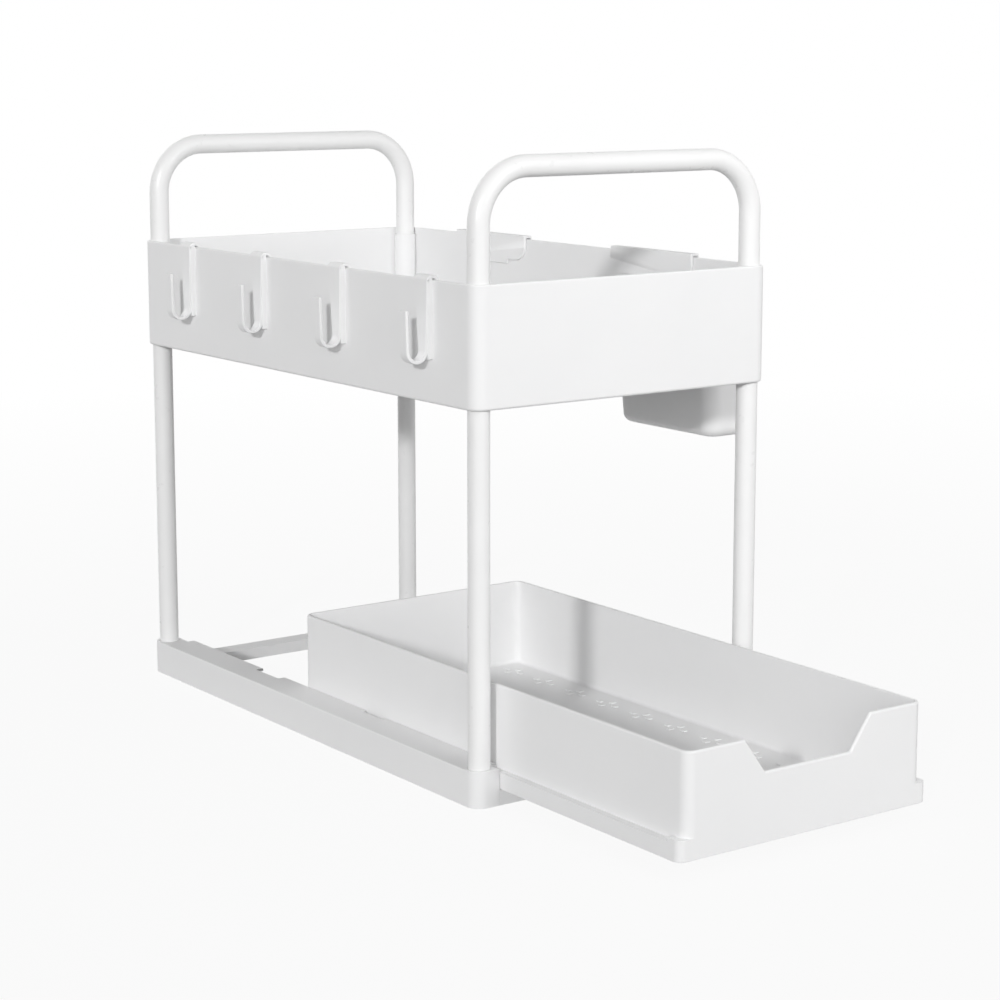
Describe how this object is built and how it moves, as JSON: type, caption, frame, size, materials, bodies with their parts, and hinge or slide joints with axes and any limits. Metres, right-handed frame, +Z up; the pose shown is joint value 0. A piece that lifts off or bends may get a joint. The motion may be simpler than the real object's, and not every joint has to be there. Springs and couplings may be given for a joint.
{
  "type": "pull-out pantry rack",
  "caption": "Two-tier storage rack: rimmed upper tray on tube posts with arched end handles, sliding drawer in an open base frame, side hooks and hanging cups.",
  "frame": {"origin": "on the floor, midway between the axes of the two front posts, on the underside of the front cross bar", "axes": "+X to the right seen from the front, where the cups hang; +Y from the drawer's front towards the back; +Z up"},
  "size_m": [0.2638, 0.5104, 0.344],
  "materials": {
    "base_plastic": "white moulded plastic, satin",
    "tray_plastic": "white moulded plastic, satin",
    "drawer_plastic": "white moulded plastic, satin",
    "hook_plastic": "white moulded plastic, satin",
    "cup_plastic": "white moulded plastic, satin",
    "tube_coat": "white powder coat on steel tube, semi-gloss",
    "joiner_plastic": "moulded plastic plug, hidden",
    "pad_rubber": "soft grey non-slip rubber",
    "screw_steel": "zinc plated"
  },
  "bodies": {
    "rack": {"base_left_rail": "base_plastic", "base_right_rail": "base_plastic", "base_front_bar": "base_plastic", "base_back_bar": "base_plastic", "base_screws": "screw_steel", "pad_front_left": "pad_rubber", "pad_front_right": "pad_rubber", "pad_back_left": "pad_rubber", "pad_back_right": "pad_rubber", "post_front_left": "tube_coat", "post_front_right": "tube_coat", "post_back_left": "tube_coat", "post_back_right": "tube_coat", "joiner_front_left": "joiner_plastic", "joiner_front_right": "joiner_plastic", "joiner_back_left": "joiner_plastic", "joiner_back_right": "joiner_plastic", "upper_tray": "tray_plastic", "front_handle": "tube_coat", "back_handle": "tube_coat"},
    "drawer": {"drawer": "drawer_plastic"},
    "hook_1": {"side_hook_1": "hook_plastic"},
    "hook_2": {"side_hook_2": "hook_plastic"},
    "hook_3": {"side_hook_3": "hook_plastic"},
    "hook_4": {"side_hook_4": "hook_plastic"},
    "front_cup": {"front_cup": "cup_plastic"},
    "back_cup": {"back_cup": "cup_plastic"}
  },
  "joints": [
    {"name": "drawer_slide", "type": "slide", "parent": "rack", "child": "drawer", "axis": [0, -1, 0], "range_m": [-0.1474, 0.084]},
    {"name": "hook_1_lift", "type": "slide", "parent": "rack", "child": "hook_1", "axis": [0, 0, 1], "range_m": [0, 0.03]},
    {"name": "hook_2_lift", "type": "slide", "parent": "rack", "child": "hook_2", "axis": [0, 0, 1], "range_m": [0, 0.03]},
    {"name": "hook_3_lift", "type": "slide", "parent": "rack", "child": "hook_3", "axis": [0, 0, 1], "range_m": [0, 0.03]},
    {"name": "hook_4_lift", "type": "slide", "parent": "rack", "child": "hook_4", "axis": [0, 0, 1], "range_m": [0, 0.03]},
    {"name": "front_cup_lift", "type": "slide", "parent": "rack", "child": "front_cup", "axis": [0, 0, 1], "range_m": [0, 0.03]},
    {"name": "back_cup_lift", "type": "slide", "parent": "rack", "child": "back_cup", "axis": [0, 0, 1], "range_m": [0, 0.03]}
  ]
}
